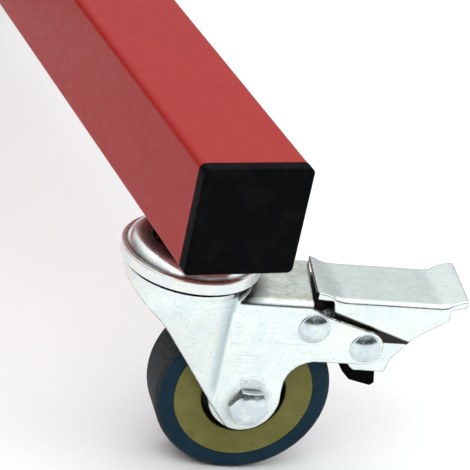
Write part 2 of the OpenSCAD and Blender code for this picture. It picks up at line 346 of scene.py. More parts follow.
class Finish:
    """A procedural material, built from noises measured in millimetres on the piece itself."""

    def __init__(self, name, **constants):
        self.material = bpy.data.materials.new(name)
        self.material.use_nodes = True
        self.tree = self.material.node_tree
        self.shader = self.tree.nodes["Principled BSDF"]
        for socket, value in constants.items():
            self.shader.inputs[socket.replace("_", " ")].default_value = value
        place = self.add("ShaderNodeTexCoord").outputs["Object"]
        self.place = self.vector("MULTIPLY", place, (1 / MM,) * 3)
        number = self.add("ShaderNodeObjectInfo").outputs["Object Index"]
        self.spread_out = self.vector("ADD", self.place, self.vector("SCALE", (90, 50, 70), scale=number))

    def add(self, kind, **settings):
        node = self.tree.nodes.new(kind)
        for name, value in settings.items():
            setattr(node, name, value)
        return node

    def feed(self, socket, value):
        if isinstance(value, bpy.types.NodeSocket):
            self.tree.links.new(value, socket)
        else:
            socket.default_value = value

    def vector(self, operation, a, b=None, scale=None):
        node = self.add("ShaderNodeVectorMath", operation=operation)
        self.feed(node.inputs[0], a)
        if b is not None:
            self.feed(node.inputs[1], b)
        if scale is not None:
            self.feed(node.inputs["Scale"], scale)
        return node.outputs[0]

    def calc(self, operation, a, b):
        node = self.add("ShaderNodeMath", operation=operation)
        self.feed(node.inputs[0], a)
        self.feed(node.inputs[1], b)
        return node.outputs[0]

    def noise(self, size, detail=3, rough=0.55, stretch=(1, 1, 1), turn=0.0, warp=0.0):
        """A noise with features about size millimetres wide, stretched along the piece's own axes."""
        mapping = self.add("ShaderNodeMapping")
        self.feed(mapping.inputs["Vector"], self.spread_out)
        mapping.inputs["Rotation"].default_value = (0, turn, 0)
        mapping.inputs["Scale"].default_value = [1 / (size * s) for s in stretch]
        node = self.add("ShaderNodeTexNoise")
        self.feed(node.inputs["Vector"], mapping.outputs[0])
        for name, value in (("Scale", 1), ("Detail", detail), ("Roughness", rough), ("Distortion", warp)):
            node.inputs[name].default_value = value
        return node.outputs["Fac"]

    def between(self, value, low, high, out_low=0.0, out_high=1.0):
        """Maps a value from low..high to out_low..out_high, held at the ends."""
        node = self.add("ShaderNodeMapRange", interpolation_type="SMOOTHSTEP")
        for name, number in (("Value", value), ("From Min", low), ("From Max", high),
                             ("To Min", out_low), ("To Max", out_high)):
            self.feed(node.inputs[name], number)
        return node.outputs["Result"]

    def mix(self, share, a, b):
        node = self.add("ShaderNodeMix", data_type="RGBA")
        for index, value in ((0, share), (6, a), (7, b)):
            if isinstance(value, tuple):
                value = (*value, 1)
            self.feed(node.inputs[index], value)
        return node.outputs[2]

    def scratches(self, width, length, turn, amount):
        """Fine straight scratches in the piece's x and z plane, in patches; a larger amount has more."""
        line = self.noise(width, 1, 0.4, (length / width, 1, 1), turn)
        patch = self.between(self.noise(9, 2), 0.62 - amount, 0.72 - amount)
        return self.calc("MULTIPLY", self.between(line, 0.64, 0.7), patch)

    def painted(self, name):
        """An amount that paint() stored on the mesh, and 0 on a mesh that has none."""
        return self.add("ShaderNodeAttribute", attribute_name=name).outputs["Fac"]

    def place_part(self, axis):
        """One of the place's X, Y and Z, in millimetres."""
        node = self.add("ShaderNodeSeparateXYZ")
        self.feed(node.inputs[0], self.place)
        return node.outputs[axis]

    def finish(self, colour, roughness, height, distance):
        """The material, with bumps that are a distance in millimetres high where the height is 1."""
        self.feed(self.shader.inputs["Base Color"], colour)
        self.feed(self.shader.inputs["Roughness"], roughness)
        bump = self.add("ShaderNodeBump")
        bump.inputs["Strength"].default_value = 1
        bump.inputs["Distance"].default_value = distance * MM
        self.feed(bump.inputs["Height"], height)
        self.feed(self.shader.inputs["Normal"], bump.outputs[0])
        return self.material


def powder_coat():
    """Red powder coat with fine orange peel, dark flecks and faint rubbed scratches."""
    coat = Finish("powder_coat", Specular_IOR_Level=0.22)
    cloud = coat.noise(45, 4)
    colour = coat.mix(coat.between(cloud, 0.35, 0.65), (0.37, 0.0148, 0.0135), (0.385, 0.017, 0.0152))
    fleck = coat.between(coat.noise(1.1, 2), 0.67, 0.74)
    colour = coat.mix(coat.calc("MULTIPLY", fleck, 0.45), colour, (0.19, 0.012, 0.012))
    rubbed = coat.scratches(0.35, 24, 0.9, 0.04)
    colour = coat.mix(coat.calc("MULTIPLY", rubbed, 0.35), colour, (0.5, 0.09, 0.08))
    roughness = coat.between(coat.noise(6, 3), 0.3, 0.7, 0.37, 0.43)
    peel = coat.noise(1.6, 2, 0.4)
    return coat.finish(colour, roughness, peel, 0.02)


def cap_plastic():
    """Dull black moulded plastic with a paler bloom and a few scuffs."""
    cap = Finish("cap_plastic", Specular_IOR_Level=0.025)
    cloud = cap.between(cap.noise(9, 4, 0.6, warp=0.4), 0.42, 0.7)
    colour = cap.mix(cloud, (0.0018, 0.002, 0.0026), (0.0042, 0.0042, 0.0042))
    scuff = cap.scratches(0.3, 30, 0.25, 0.03)
    colour = cap.mix(cap.calc("MULTIPLY", scuff, 0.6), colour, (0.014, 0.0135, 0.012))
    roughness = cap.between(cap.noise(3, 4), 0.3, 0.7, 0.4, 0.56)
    return cap.finish(colour, roughness, cap.noise(0.45, 2), 0.03)


def race_plating():
    """Bright plating with small pits, darkened with painted shade and greasy dirt where these are stored on
    the mesh.
    """
    race = Finish("race_plating", Metallic=0.78)
    cloud = race.noise(7, 3)
    colour = race.mix(race.between(cloud, 0.4, 0.65), (0.78, 0.82, 0.83), (0.86, 0.87, 0.80))
    pit = race.between(race.noise(0.8, 2), 0.69, 0.75)
    colour = race.mix(race.calc("MULTIPLY", pit, 0.5), colour, (0.2, 0.17, 0.14))
    # Painted shade and greasy dirt: darkens the race under the tube and in the ledge's valley
    colour = race.mix(race.painted("grease"), colour, (0.07, 0.05, 0.045))
    roughness = race.between(race.noise(4, 4), 0.3, 0.7, 0.14, 0.28)
    return race.finish(colour, roughness, race.noise(1.4, 2), 0.012)


def zinc_sheet(name, film_share):
    """Zinc-plated sheet: clouds, specks, scratches, an oily film on top faces, painted shade beside the
    crease, painted shade with greasy dirt where stored on the mesh, and dull cut edges.
    """
    zinc = Finish(name, Metallic=1.0)
    cloud = zinc.noise(13, 4, 0.6, warp=0.3)
    colour = zinc.mix(zinc.between(cloud, 0.35, 0.55), (0.75, 0.82, 0.82), (0.81, 0.865, 0.85))
    colour = zinc.mix(zinc.between(zinc.noise(22, 3), 0.54, 0.68, 0, 0.5), colour, (0.87, 0.88, 0.79))
    # Painted shade: a duller bluish band beside the fork's crease, where the sheet reflects the shaded floor
    # under the arm
    colour = zinc.mix(zinc.painted("crease"), colour, (0.47, 0.56, 0.58))
    speck = zinc.between(zinc.noise(0.7, 2), 0.64, 0.7)
    dirt = zinc.calc("MULTIPLY", speck, zinc.between(zinc.noise(7, 3), 0.45, 0.6, 0.15, 0.8))
    colour = zinc.mix(dirt, colour, (0.20, 0.18, 0.16))
    line = zinc.scratches(0.22, 30, 0.55, 0.16)
    other = zinc.scratches(0.18, 16, -0.4, 0.1)
    mark = zinc.calc("MAXIMUM", line, other)
    colour = zinc.mix(zinc.calc("MULTIPLY", mark, 0.7), colour, (0.5, 0.49, 0.47))
    on_top = zinc.between(zinc.place_part("Z"), PLATE_TOP - 1.2, PLATE_TOP - 0.2)
    on_top = zinc.calc("MULTIPLY", on_top, zinc.between(zinc.place_part("X"), 16, 24))
    film = zinc.noise(3.2, 5, 0.65, (1.6, 1, 1), 0, 0.3)
    film = zinc.between(film, 0.36, 0.66, film_share * 0.3, film_share)
    colour = zinc.mix(zinc.calc("MULTIPLY", on_top, film), colour, (0.52, 0.525, 0.435))
    # Painted shade with greasy dirt, where it is stored on the mesh
    colour = zinc.mix(zinc.painted("grease"), colour, (0.03, 0.027, 0.024))
    worn = zinc.calc("MULTIPLY", zinc.painted("cut_edge"), zinc.between(zinc.noise(3, 4), 0.35, 0.6, 0.4, 1))
    colour = zinc.mix(worn, colour, (0.13, 0.12, 0.1))
    roughness = zinc.between(zinc.noise(5, 4, 0.6), 0.3, 0.7, 0.17, 0.3)
    roughness = zinc.calc("ADD", roughness, zinc.calc("MULTIPLY", mark, 0.12))
    height = zinc.calc("SUBTRACT", zinc.noise(2.2, 3), zinc.calc("MULTIPLY", mark, 0.35))
    return zinc.finish(colour, roughness, height, 0.018)


def zinc_fastener():
    """Zinc plating on bolts, nuts and rivets, with fine specks."""
    zinc = Finish("zinc_fastener", Metallic=1.0)
    cloud = zinc.noise(4, 4)
    colour = zinc.mix(zinc.between(cloud, 0.38, 0.62), (0.60, 0.67, 0.70), (0.73, 0.79, 0.79))
    speck = zinc.between(zinc.noise(0.6, 2), 0.66, 0.73)
    colour = zinc.mix(zinc.calc("MULTIPLY", speck, 0.5), colour, (0.25, 0.23, 0.22))
    roughness = zinc.between(zinc.noise(2, 4), 0.3, 0.7, 0.13, 0.28)
    return zinc.finish(colour, roughness, zinc.noise(0.9, 3), 0.02)


def steel(name, dark, pale, low_roughness, high_roughness):
    """Steel that varies between two colours and two roughnesses."""
    bare = Finish(name, Metallic=1.0)
    colour = bare.mix(bare.between(bare.noise(3, 3), 0.38, 0.62), dark, pale)
    roughness = bare.between(bare.noise(1.5, 3), 0.3, 0.7, low_roughness, high_roughness)
    return bare.finish(colour, roughness, bare.noise(0.8, 2), 0.01)


def wheel_plastic():
    """Olive moulded plastic with scuffs and grime, and painted shade, near black, in the hub's recess."""
    plastic = Finish("wheel_plastic", Specular_IOR_Level=0.15)
    cloud = plastic.noise(10, 4)
    colour = plastic.mix(plastic.between(cloud, 0.36, 0.64), (0.158, 0.148, 0.036), (0.195, 0.184, 0.05))
    scuff = plastic.scratches(0.3, 12, 0.7, 0.05)
    colour = plastic.mix(plastic.calc("MULTIPLY", scuff, 0.5), colour, (0.25, 0.23, 0.11))
    grime = plastic.between(plastic.noise(1.2, 3), 0.6, 0.72)
    colour = plastic.mix(plastic.calc("MULTIPLY", grime, 0.35), colour, (0.06, 0.055, 0.03))
    # Painted shade: near black inside the hub's recess
    colour = plastic.mix(plastic.painted("recess"), colour, (0.008, 0.008, 0.007))
    roughness = plastic.between(plastic.noise(4, 3), 0.3, 0.7, 0.38, 0.52)
    return plastic.finish(colour, roughness, plastic.noise(0.8, 2), 0.02)


def tyre_rubber():
    """Blue-grey rubber, worn patchily to a dusty grey where the tread is painted."""
    rubber = Finish("tyre_rubber", Specular_IOR_Level=0.05)
    cloud = rubber.noise(8, 4)
    colour = rubber.mix(rubber.between(cloud, 0.36, 0.64), (0.009, 0.029, 0.046), (0.013, 0.036, 0.056))
    patchy = rubber.between(rubber.noise(2.5, 4), 0.3, 0.7, -0.12, 0.12)
    wear = rubber.calc("ADD", rubber.painted("tread"), patchy)
    dust = rubber.between(rubber.noise(1.2, 3), 0.4, 0.7)
    worn = rubber.mix(dust, (0.028, 0.031, 0.031), (0.06, 0.06, 0.057))
    colour = rubber.mix(rubber.between(wear, 0.3, 0.75, 0, 0.9), colour, worn)
    roughness = rubber.between(rubber.noise(2, 3), 0.3, 0.7, 0.5, 0.68)
    return rubber.finish(colour, roughness, rubber.noise(0.7, 3), 0.03)


def shoe_rubber():
    """Matt black rubber."""
    rubber = Finish("shoe_rubber", Specular_IOR_Level=0.02)
    cloud = rubber.between(rubber.noise(3, 3), 0.4, 0.65)
    colour = rubber.mix(cloud, (0.0015, 0.0015, 0.0017), (0.004, 0.004, 0.004))
    roughness = rubber.between(rubber.noise(1.5, 3), 0.3, 0.7, 0.5, 0.7)
    return rubber.finish(colour, roughness, rubber.noise(0.6, 3), 0.04)


FINISHES = {
    "powder_coat": powder_coat(),
    "cap_plastic": cap_plastic(),
    "race_plating": race_plating(),
    "zinc_sheet": zinc_sheet("zinc_sheet", 0.9),
    "pedal_zinc": zinc_sheet("pedal_zinc", 0.15),
    "zinc_fastener": zinc_fastener(),
    "ball_steel": steel("ball_steel", (0.62, 0.63, 0.65), (0.72, 0.72, 0.73), 0.06, 0.14),
    "bush_steel": steel("bush_steel", (0.25, 0.24, 0.23), (0.36, 0.35, 0.34), 0.28, 0.45),
    # Near black: painted shade, as the spring stands in for the shade in the gap between the cheeks
    "spring_steel": steel("spring_steel", (0.012, 0.012, 0.013), (0.03, 0.03, 0.032), 0.3, 0.5),
    "wheel_plastic": wheel_plastic(),
    "tyre_rubber": tyre_rubber(),
    "shoe_rubber": shoe_rubber(),
}


# ---- Swivel head ----

def upper_race():
    """The pressed race: a low wall, a ledge, a rounded dome, and a cup that holds the stem."""
    wall_r = CROWN_R + 3.5
    sheet = 2.2
    floor = race_low + 4
    track = race_low + 4.7
    return turned(outline(
        (wall_r - 0.3, race_low, 0.7), (wall_r, race_low + 5.9, 0.8), (wall_r - 2.2, race_low + 6, 0.7),
        (26.7, race_high - 0.2, 6), (18.9, race_high, 1.1), (17.6, race_high - 2, 0.8),
        (17.5, floor, 1), (STEM_HOLE_R, floor, 0.2), (STEM_HOLE_R, floor - sheet, 0.2),
        (18.6, floor - sheet, 1.5), (19.6, track, 1), (wall_r - sheet, track, 1.5),
        (wall_r - sheet, race_low, 0.4)))


def race_grease(x, y, z):
    """Painted shade with some greasy dirt: dark inside the dome's crest, where the tube above shades it, and
    a little in the ledge's valley.
    """
    crest_r = 25.5
    valley_r = 29.2
    far = np.hypot(x, y)
    return np.maximum((crest_r - far) / 3, 1 - np.abs(far - valley_r) / 0.7)


def lower_race():
    """The dish under the fork's top, with a rim that the lower balls run in."""
    low, high = (corner.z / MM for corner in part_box("lower_race_front_right"))
    return turned(outline(
        (STEM_HOLE_R, low, 0.2), (19, low, 1.6), (19, high, 0.6), (17, high, 0.6),
        (17, low + 2, 1.2), (STEM_HOLE_R, low + 2, 0.2)))


# ---- Fork ----

# The rounded end of the arm about the pivot, and the cheek's sloping top edge from there up to the plate
END_LOBE_R = 8.6
EDGE_HIGH = 91
TOP_EDGE = ((PIVOT[0] + 2.3, PIVOT[1] + 8, 2), (60, 87.6, 12), (PLATE_END, EDGE_HIGH, 0))
# The round foot of the leg, about the axle
FOOT_LOBE = (31.6, 42.6)
FOOT_LOBE_R = 16.1
FORK_OUTLINE = outline(
    (-31, 101, 0), (-31, 92.4, 0), (-28.2, 92.4, 1), (-12.7, 80.3, 40), (17.5, 38, 0), (47.3, 40, 0),
    (48.4, 63.7, 13), (PIVOT[0], PIVOT[1] - END_LOBE_R, 0), (PIVOT[0] + 6, PIVOT[1] + 4, 0),
    *TOP_EDGE, (64, EDGE_HIGH, 0), (64, 101, 0))
# The upright crease between the crown and the flat of the cheek: its x, and the heights of its ends
CREASE = 17.2
CREASE_FOOT = 49
CREASE_HEAD = 90
# The slanting fold at the leg's foot: its line, the direction across it, and the slope of the sheet past it
FOLD = ((24.9, 29.2), (14, 42.8))
FOLD_ACROSS = (0.78, 0.626)
FOLD_SLOPE = (0.55, 0.835)


def fork_side(x, y, z):
    """How far a point is outside the cheek, which swells out to the round crown in front of the crease."""
    flat = y - HALF_FORK - BOSS * smooth_step((17 - from_axle(x, z)) / 9)
    around = np.hypot(x, y) - CROWN_R
    rise = np.clip((z - CREASE_FOOT) / (CREASE_HEAD - CREASE_FOOT), 0, 1)
    rise = np.where(rise < 0.3, rise * rise / 0.6, rise - 0.15) / 0.85
    crease = CREASE + 8 * smooth_step((z - 87) / 4)
    swell = smooth_step((crease + 2 - x) / 4) * rise
    outward = np.where(x > 0, np.maximum(flat - around, 0), flat - around)
    side = flat - swell * outward
    past_fold = (FOLD[1][0] - x) * FOLD_ACROSS[0] + (FOLD[1][1] - z) * FOLD_ACROSS[1]
    turned_in = past_fold * FOLD_SLOPE[0] + flat * FOLD_SLOPE[1]
    return rounded_max(side, turned_in, 1.5)


def fork_trim(x, z):
    """How far a point is outside the fork's outline, seen from its side."""
    trimmed = from_outline(FORK_OUTLINE, x, z)
    trimmed = rounded_min(trimmed, from_point(x, z, FOOT_LOBE) - FOOT_LOBE_R, 1)
    return np.minimum(trimmed, from_point(x, z, PIVOT) - END_LOBE_R)


def plate_end(x, y):
    """How far a point is beyond the slanted end of the fork's top plate."""
    return x - PLATE_END - 0.16 * (y + HALF_FORK)


def fork_shape(x, y, z):
    """The pressed sheet: two cheeks under a plate and a round crown, trimmed and with its holes."""
    crown_foot = 92
    end = plate_end(x, y) + np.minimum(z - EDGE_HIGH, 0) * 3
    y = np.abs(y)
    side = fork_side(x, y, z)
    around = np.hypot(x, y) - CROWN_R
    top = PLATE_TOP + 4 * smooth_step((18 - x) / 3)
    arm = rounded_max(side, z - top, 3.5)
    flare = 1.2 * smooth_step((z - 93) / 6)
    crown = np.maximum(rounded_max(around - flare, z - race_low + 0.45, 0.8), crown_foot - z)
    outside = rounded_min(arm, crown, 0.8)
    arm_hollow = rounded_max(side + SHEET, z - top + SHEET, 1)
    crown_hollow = rounded_max(around + SHEET, z - crown_top + SHEET, 0.8)
    crown_hollow = np.maximum(crown_hollow, crown_foot - 4 - z)
    sheet = np.maximum(outside, -np.minimum(arm_hollow, crown_hollow))
    sheet = rounded_max(sheet, np.maximum(fork_trim(x, z), end), 0.5)
    holes = np.minimum(from_axle(x, z) - AXLE_HOLE_R, from_point(x, z, PIVOT) - RIVET_HOLE_R)
    holes = np.minimum(holes, from_point(x, z, SPACER) - RIVET_HOLE_R)
    holes = np.minimum(holes, np.hypot(x, y) - STEM_HOLE_R)
    return np.maximum(sheet, -holes)


def fork_grease(x, y, z):
    """Painted shade, with some greasy dirt: dark round the race under its overhang, in the fold, on the top
    edge and on the plate's end, and a painted reflection of the bolt's head up and left of it.
    """
    far = np.hypot(x, y)
    # Painted shade under the race's overhang, on the plate beside the crown
    ring = np.where((z > PLATE_TOP - 2) & (x > 15) & (far > CROWN_R + 0.6), (38 - far) / 7, 0)
    fold = 0.9 - np.abs(from_line(x, z, *FOLD)) / 0.5
    fold = np.where((np.abs(y) > HALF_FORK - 1.5) & (z < 44), fold, 0)
    edge = from_line(x, z, TOP_EDGE[2], TOP_EDGE[0]) + 0.9
    cut_face = (np.abs(y) < HALF_FORK - 0.35) & (np.abs(y) > HALF_FORK - SHEET - 0.5)
    edge = np.where(cut_face & (x > PLATE_END) & (z > 80) & (z < 91.3), edge, 0)
    upper_left = (z - AXLE[1]) - (x - AXLE[0])
    # Painted reflection of the bolt's head in the cheek, up and left of the bolt
    halo = 0.45 * smooth_step((13.5 - from_axle(x, z)) / 5.5) * smooth_step((upper_left + 9) / 9)
    end = (plate_end(x, y) + 0.6) / 0.3 * (z > 90.5)
    return np.max(np.broadcast_arrays(ring * 0.9, fold, edge, halo, end), axis=0)


def crease_shade(x, y, z):
    """Painted shade: the duller band beside the crease, where the sheet reflects the shaded floor under the
    arm, widest under the crown.
    """
    width = 4.5 + 4.5 * (z - CREASE_FOOT) / (CREASE_HEAD - CREASE_FOOT)
    band = smooth_step((x - CREASE + width) / width) * smooth_step((CREASE + 1.5 - x) / 2)
    return band * smooth_step((z - 40) / 10) * (np.abs(y) > 16)


def fork_edge(x, y, z):
    """The worn, dull edges where the fork's sheet was cut."""
    return (fork_trim(x, z) + 0.45) / 0.2 * (z < PLATE_TOP - 1)


# ---- Brake ----

# The pedal's raised tip, and where its side walls begin and end along it
PEDAL_TIP = 126.6
WALL_START = 63.5
WALL_END = 118.4
PEDAL_OUTLINE = outline(
    (54, 103, 0), (54, 94, 0), (WALL_START - 0.5, 93.6, 0.8), (WALL_START, 92.2, 0.5), (65.5, 83, 6),
    (72, 68, 6), (77.5, 60.3, 3), (79.5, 59.1, 1), (94, 58.8, 1.8), (95.6, 66, 8), (104.6, 77.6, 22),
    (WALL_END, 87, 1.5), (WALL_END, 92.2, 0.4), (131, 96, 0), (131, 103, 0))


def pedal_ends(x, y):
    """How far a point is beyond the pedal's two slightly slanted ends."""
    return np.maximum(57 + 0.126 * y - x, x - PEDAL_TIP - 0.07 * y)


def pedal_shape(x, y, z):
    """The pressed channel: a top with its two ends raised, and a wall on each side that holds the pivot."""
    ends = rounded_max(pedal_ends(x, y), np.abs(y) - HALF_PEDAL, 0.6)
    y = np.abs(y)
    top = PEDAL_TOP + 2.9 * smooth_step((70 - x) / 15) + 3.6 * smooth_step((x - 113) / 14)
    walled = smooth_step((x - WALL_START + 2) / 3) * smooth_step((WALL_END + 1 - x) / 3)
    bend = 0.7 + 1.9 * walled
    outside = rounded_max(y - HALF_PEDAL, z - top, bend)
    inside = rounded_max(y - HALF_PEDAL + PEDAL_SHEET, z - top + PEDAL_SHEET, 0.6)
    sheet = np.maximum(outside, -inside)
    sheet = rounded_max(sheet, np.maximum(from_outline(PEDAL_OUTLINE, x, z), ends), 0.45)
    return np.maximum(sheet, RIVET_HOLE_R + 0.02 - from_point(x, z, PIVOT))


def pedal_grease(x, y, z):
    """Painted shade, with some greasy dirt: dark where the pedal's walls come out from between the cheeks,
    in the slot's shadow, and on its inner end face.
    """
    above = from_line(x, z, TOP_EDGE[2], TOP_EDGE[0])
    wall = np.where(np.abs(y) > HALF_PEDAL - PEDAL_SHEET - 0.2, (1.6 - above) / 0.6, 0) * (z > 74)
    return np.maximum(wall, (pedal_ends(x, y) + 0.3) / 0.15 * (x < 65) * 0.9)


def pedal_edge(x, y, z):
    """The worn, dull edges where the pedal's sheet was cut."""
    return (np.maximum(from_outline(PEDAL_OUTLINE, x, z), pedal_ends(x, y)) + 0.45) / 0.2


def rivet(centre, head):
    """A rivet across the fork with a low domed head at each end."""
    shank = 3.5
    under = HALF_FORK + 0.05
    dome = 2.4
    ball = (head * head + dome * dome) / (2 * dome)
    rise = math.asin(head / ball)
    angles = np.linspace(rise - 0.03, 0, 12)
    half = [(shank, HALF_FORK - 1), (shank, under), (head - 0.25, under), (head, HALF_FORK + 0.3)]
    half += [(ball * math.sin(a) + 1e-3, HALF_FORK + dome - ball + ball * math.cos(a)) for a in angles]
    profile = half + [(r, -h) for r, h in half[::-1]]
    return across(*turned(profile, 96), centre)


def brake_shoe():
    """The rubber block between the pedal's walls, and the toe that meets the tread."""
    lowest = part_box("brake_shoe_front_right")[0].z / MM
    block = outline((76.5, 60, 1), (77.5, 68, 1), (91, 68, 1), (92.4, 60, 1))
    toe = outline((77.5, 67, 0), (76.4, 54.9, 1.2), (80.8, 50.5, 1.5), (87, lowest + 1, 3),
                  (91.2, lowest, 1), (93, lowest + 1.6, 1), (91.5, 58, 2), (91, 67, 0))
    return together(plate(block, -15.4, 15.4), plate(toe, -12, 12))


def brake_spring():
    """A leaf wrapped round the fixed rivet, with its free end under the pedal's top. It is near black and
    wide, a dark sheet standing in for the shade in the gap between the cheeks.
    """
    wrap_r = 4.1
    half_sheet = 0.35
    # Wider than the CAD's leaf, to fill the shaded gap between the cheeks
    half_width = 14
    angles = np.radians(np.arange(-200, 91, 10))
    wrap = [SPACER + wrap_r * np.array([math.cos(a), math.sin(a)]) for a in angles[::-1]]
    reach = np.array([16, 5.5])
    bow = np.array([0, 0.9])
    free_end = [wrap[0] + reach * t + bow * math.sin(math.pi * t) for t in (1, 0.75, 0.5, 0.25)]
    line = np.array(free_end + wrap)
    along = np.gradient(line, axis=0)
    out = np.stack([-along[:, 1], along[:, 0]], 1) / np.linalg.norm(along, axis=1)[:, None]
    section = np.concatenate([line + half_sheet * out, (line - half_sheet * out)[::-1]])
    return plate(section, -half_width, half_width)


# ---- Wheel ----

def hexagon(across_flats, height, face_r=None, turn=0.0):
    """A hexagon standing on z = 0, with its corners chamfered and a low raised disc on its face."""
    steps = 96
    angles = np.arange(steps) * 2 * np.pi / steps
    reach = across_flats / 2 / np.cos((angles % (np.pi / 3)) - np.pi / 6)
    face_r = face_r or across_flats / 2 - 0.35
    slope = math.tan(math.radians(30))

    def ring(radius, z):
        x, y = radius * np.cos(angles + turn), radius * np.sin(angles + turn)
        return np.stack([x, y, np.zeros(steps) + z], 1)

    disc = [(face_r - 2.1, 0.7), (face_r - 2.3, 0.72), (1, 0.72)]
    rings = [ring(reach, 0), ring(reach, height - (reach - face_r) * slope), ring(face_r, height)]
    rings += [ring(radius, height + rise) for radius, rise in disc]
    return lofted(rings)


def axle_bolt():
    """The bolt's head on the boss towards -y, and its shank through to the nut."""
    shank_r = 5
    length = HALF_FORK * 2 + BOSS + 11
    shank = [(shank_r, 0), (shank_r, -length + 1), (4.2, -length), (0.5, -length), (0.5, 0)]
    shank = turned(shank, 64)
    points, faces = together(hexagon(16.4, 3.3, 7.9, turn=0.04), shank)
    points[:, 2] += HALF_FORK + BOSS
    points, faces = across(points, faces, AXLE)
    return points * [1, -1, 1], faces


def axle_nut():
    """The nut on the boss towards +y."""
    points, faces = hexagon(17, 8 - BOSS, turn=0.1)
    points[:, 2] += HALF_FORK + BOSS
    return across(points, faces, AXLE)


def wheel_part(half, steps):
    """Half a profile of corners (radius, height, rounding), mirrored and turned about the axle."""
    mirrored = [(r, -h, rounding) for r, h, rounding in half[::-1]]
    return across(*turned(outline(*half, *mirrored), steps), AXLE)


def wheel_centre():
    """The moulded disc, flush with the tyre, with its hub standing in a recess on each side."""
    hub = HALF_FORK - SHEET - 0.4
    face = HALF_TYRE - 0.2
    recess = face - 7
    return wheel_part([(7.1, hub, 0.4), (12.5, hub, 0.8), (13.2, recess, 1), (18.4, recess, 1),
                       (19.2, face, 0.8), (RIM_R, face, 0.35)], 144)


def tyre():
    """The solid tyre, with rounded shoulders."""
    return wheel_part([(RIM_R + 0.02, HALF_TYRE, 0.35), (tread_r, HALF_TYRE, 3.2)], 192)


def tread_share(x, y, z):
    """How far a point of the tyre is round onto its worn tread."""
    return (from_axle(x, z) - tread_r + 3) / 3


def recess_shade(x, y, z):
    """Painted shade: whether a point of the wheel's centre is inside the hub's recess, which is painted near
    black.
    """
    return (19.6 - from_axle(x, z)) / 0.5


# ---- Frame ----

def rounded_square(side, radius):
    half = side / 2
    corners = [(half, half, radius), (-half, half, radius), (-half, -half, radius), (half, -half, radius)]
    return outline(*corners)


def end_cap(side, depth):
    """A moulded cap drawn with its face towards +z: a flange with rounded edges and a ribbed plug."""
    edge = 1.3

    def ring(width, radius, z):
        square = rounded_square(width, radius)
        return np.column_stack([square, np.full(len(square), z)])

    flange = [ring(side - 0.6, 2.2, 0), ring(side, 2.5, 0.3), ring(side, 2.5, depth - edge)]
    for angle in np.radians((20, 45, 70, 90)):
        inset = edge * (1 - math.cos(angle))
        flange.append(ring(side - 2 * inset, 2.5 - inset / 2, depth - edge + edge * math.sin(angle)))
    flange.append(ring(side - 7, 2, depth - 0.05))
    flange.append(ring(side - 9, 2, depth - 0.25))
    plug_side = side - 4.6
    plug = [ring(plug_side - 1, 2, -16), ring(plug_side, 2.2, -14), ring(plug_side, 2.2, 0.1)]
    shapes = [lofted(flange), lofted(plug)]
    for z in (-12, -8, -4):
        rib = [ring(plug_side, 2, z - 0.6), ring(plug_side + 0.55, 2, z), ring(plug_side, 2, z + 0.6)]
        shapes.append(lofted(rib))
    return together(*shapes)


def weld_bead(side, radius):
    """A rippled bead round a square tube, in the plane of its end."""
    path = rounded_square(side, radius)
    closed = np.vstack([path, path[:1]])
    lengths = np.concatenate([[0], np.cumsum(np.linalg.norm(np.diff(closed, axis=0), axis=1))])
    count = 360
    half_height = 2.6
    half_width = 1.5
    at = np.arange(count) * lengths[-1] / count
    line = np.stack([np.interp(at, lengths, closed[:, k]) for k in (0, 1)], 1)
    along = np.roll(line, -1, 0) - np.roll(line, 1, 0)
    out = np.stack([along[:, 1], -along[:, 0]], 1) / np.linalg.norm(along, axis=1)[:, None]
    out *= np.sign((out * line).sum(1))[:, None]
    ripple = 1 + 0.09 * np.abs(np.sin(at * np.pi / 2.4)) + 0.06 * np.sin(at * 0.37)
    rings = []
    for angle in np.linspace(0, 2 * np.pi, 12, endpoint=False):
        offset = out * (ripple * half_width * math.cos(angle))[:, None]
        rings.append(np.column_stack([line + offset, ripple * half_height * math.sin(angle)]))
    return np.concatenate(rings), joined_rings(len(rings), count, closed=True)


# ---- The pieces in place ----

at_corners("upper_race", upper_race(), "race_plating", "frame", "top_race", grease=race_grease)
at_corners("ball_race", lower_race(), "race_plating", "frame", "lower_race")
fork = surface_of(fork_shape, (-30, -30, 24), (93, 30, 99), 0.55)
at_corners("pressed_fork", fork, "zinc_sheet", "swivel", "fork", None,
           grease=fork_grease, crease=crease_shade, cut_edge=fork_edge)
pedal = surface_of(pedal_shape, (55, -19, 57), (129, 19, 101), 0.5)
at_corners("foot_pedal", pedal, "pedal_zinc", "brake", "brake_pedal", None, "zinc_sheet",
           grease=pedal_grease, cut_edge=pedal_edge)
at_corners("hexagon_bolt", axle_bolt(), "zinc_fastener", "swivel", "axle_bolt", 0.2)
at_corners("lock_nut", axle_nut(), "zinc_fastener", "swivel", "axle_nut", 0.2)
rivets = together(rivet(SPACER, 7.25), rivet(PIVOT, 7))
at_corners("domed_rivets", rivets, "zinc_fastener", "swivel", "brake_rivets")
at_corners("moulded_wheel", wheel_centre(), "wheel_plastic", "wheel", "wheel_centre", recess=recess_shade)
at_corners("solid_tyre", tyre(), "tyre_rubber", "wheel", "tyre", tread=tread_share)
at_corners("rubber_shoe", brake_shoe(), "shoe_rubber", "brake", "brake_shoe", 0.5)
at_corners("leaf_spring", brake_spring(), "spring_steel", "swivel", "brake_spring", 0.1)

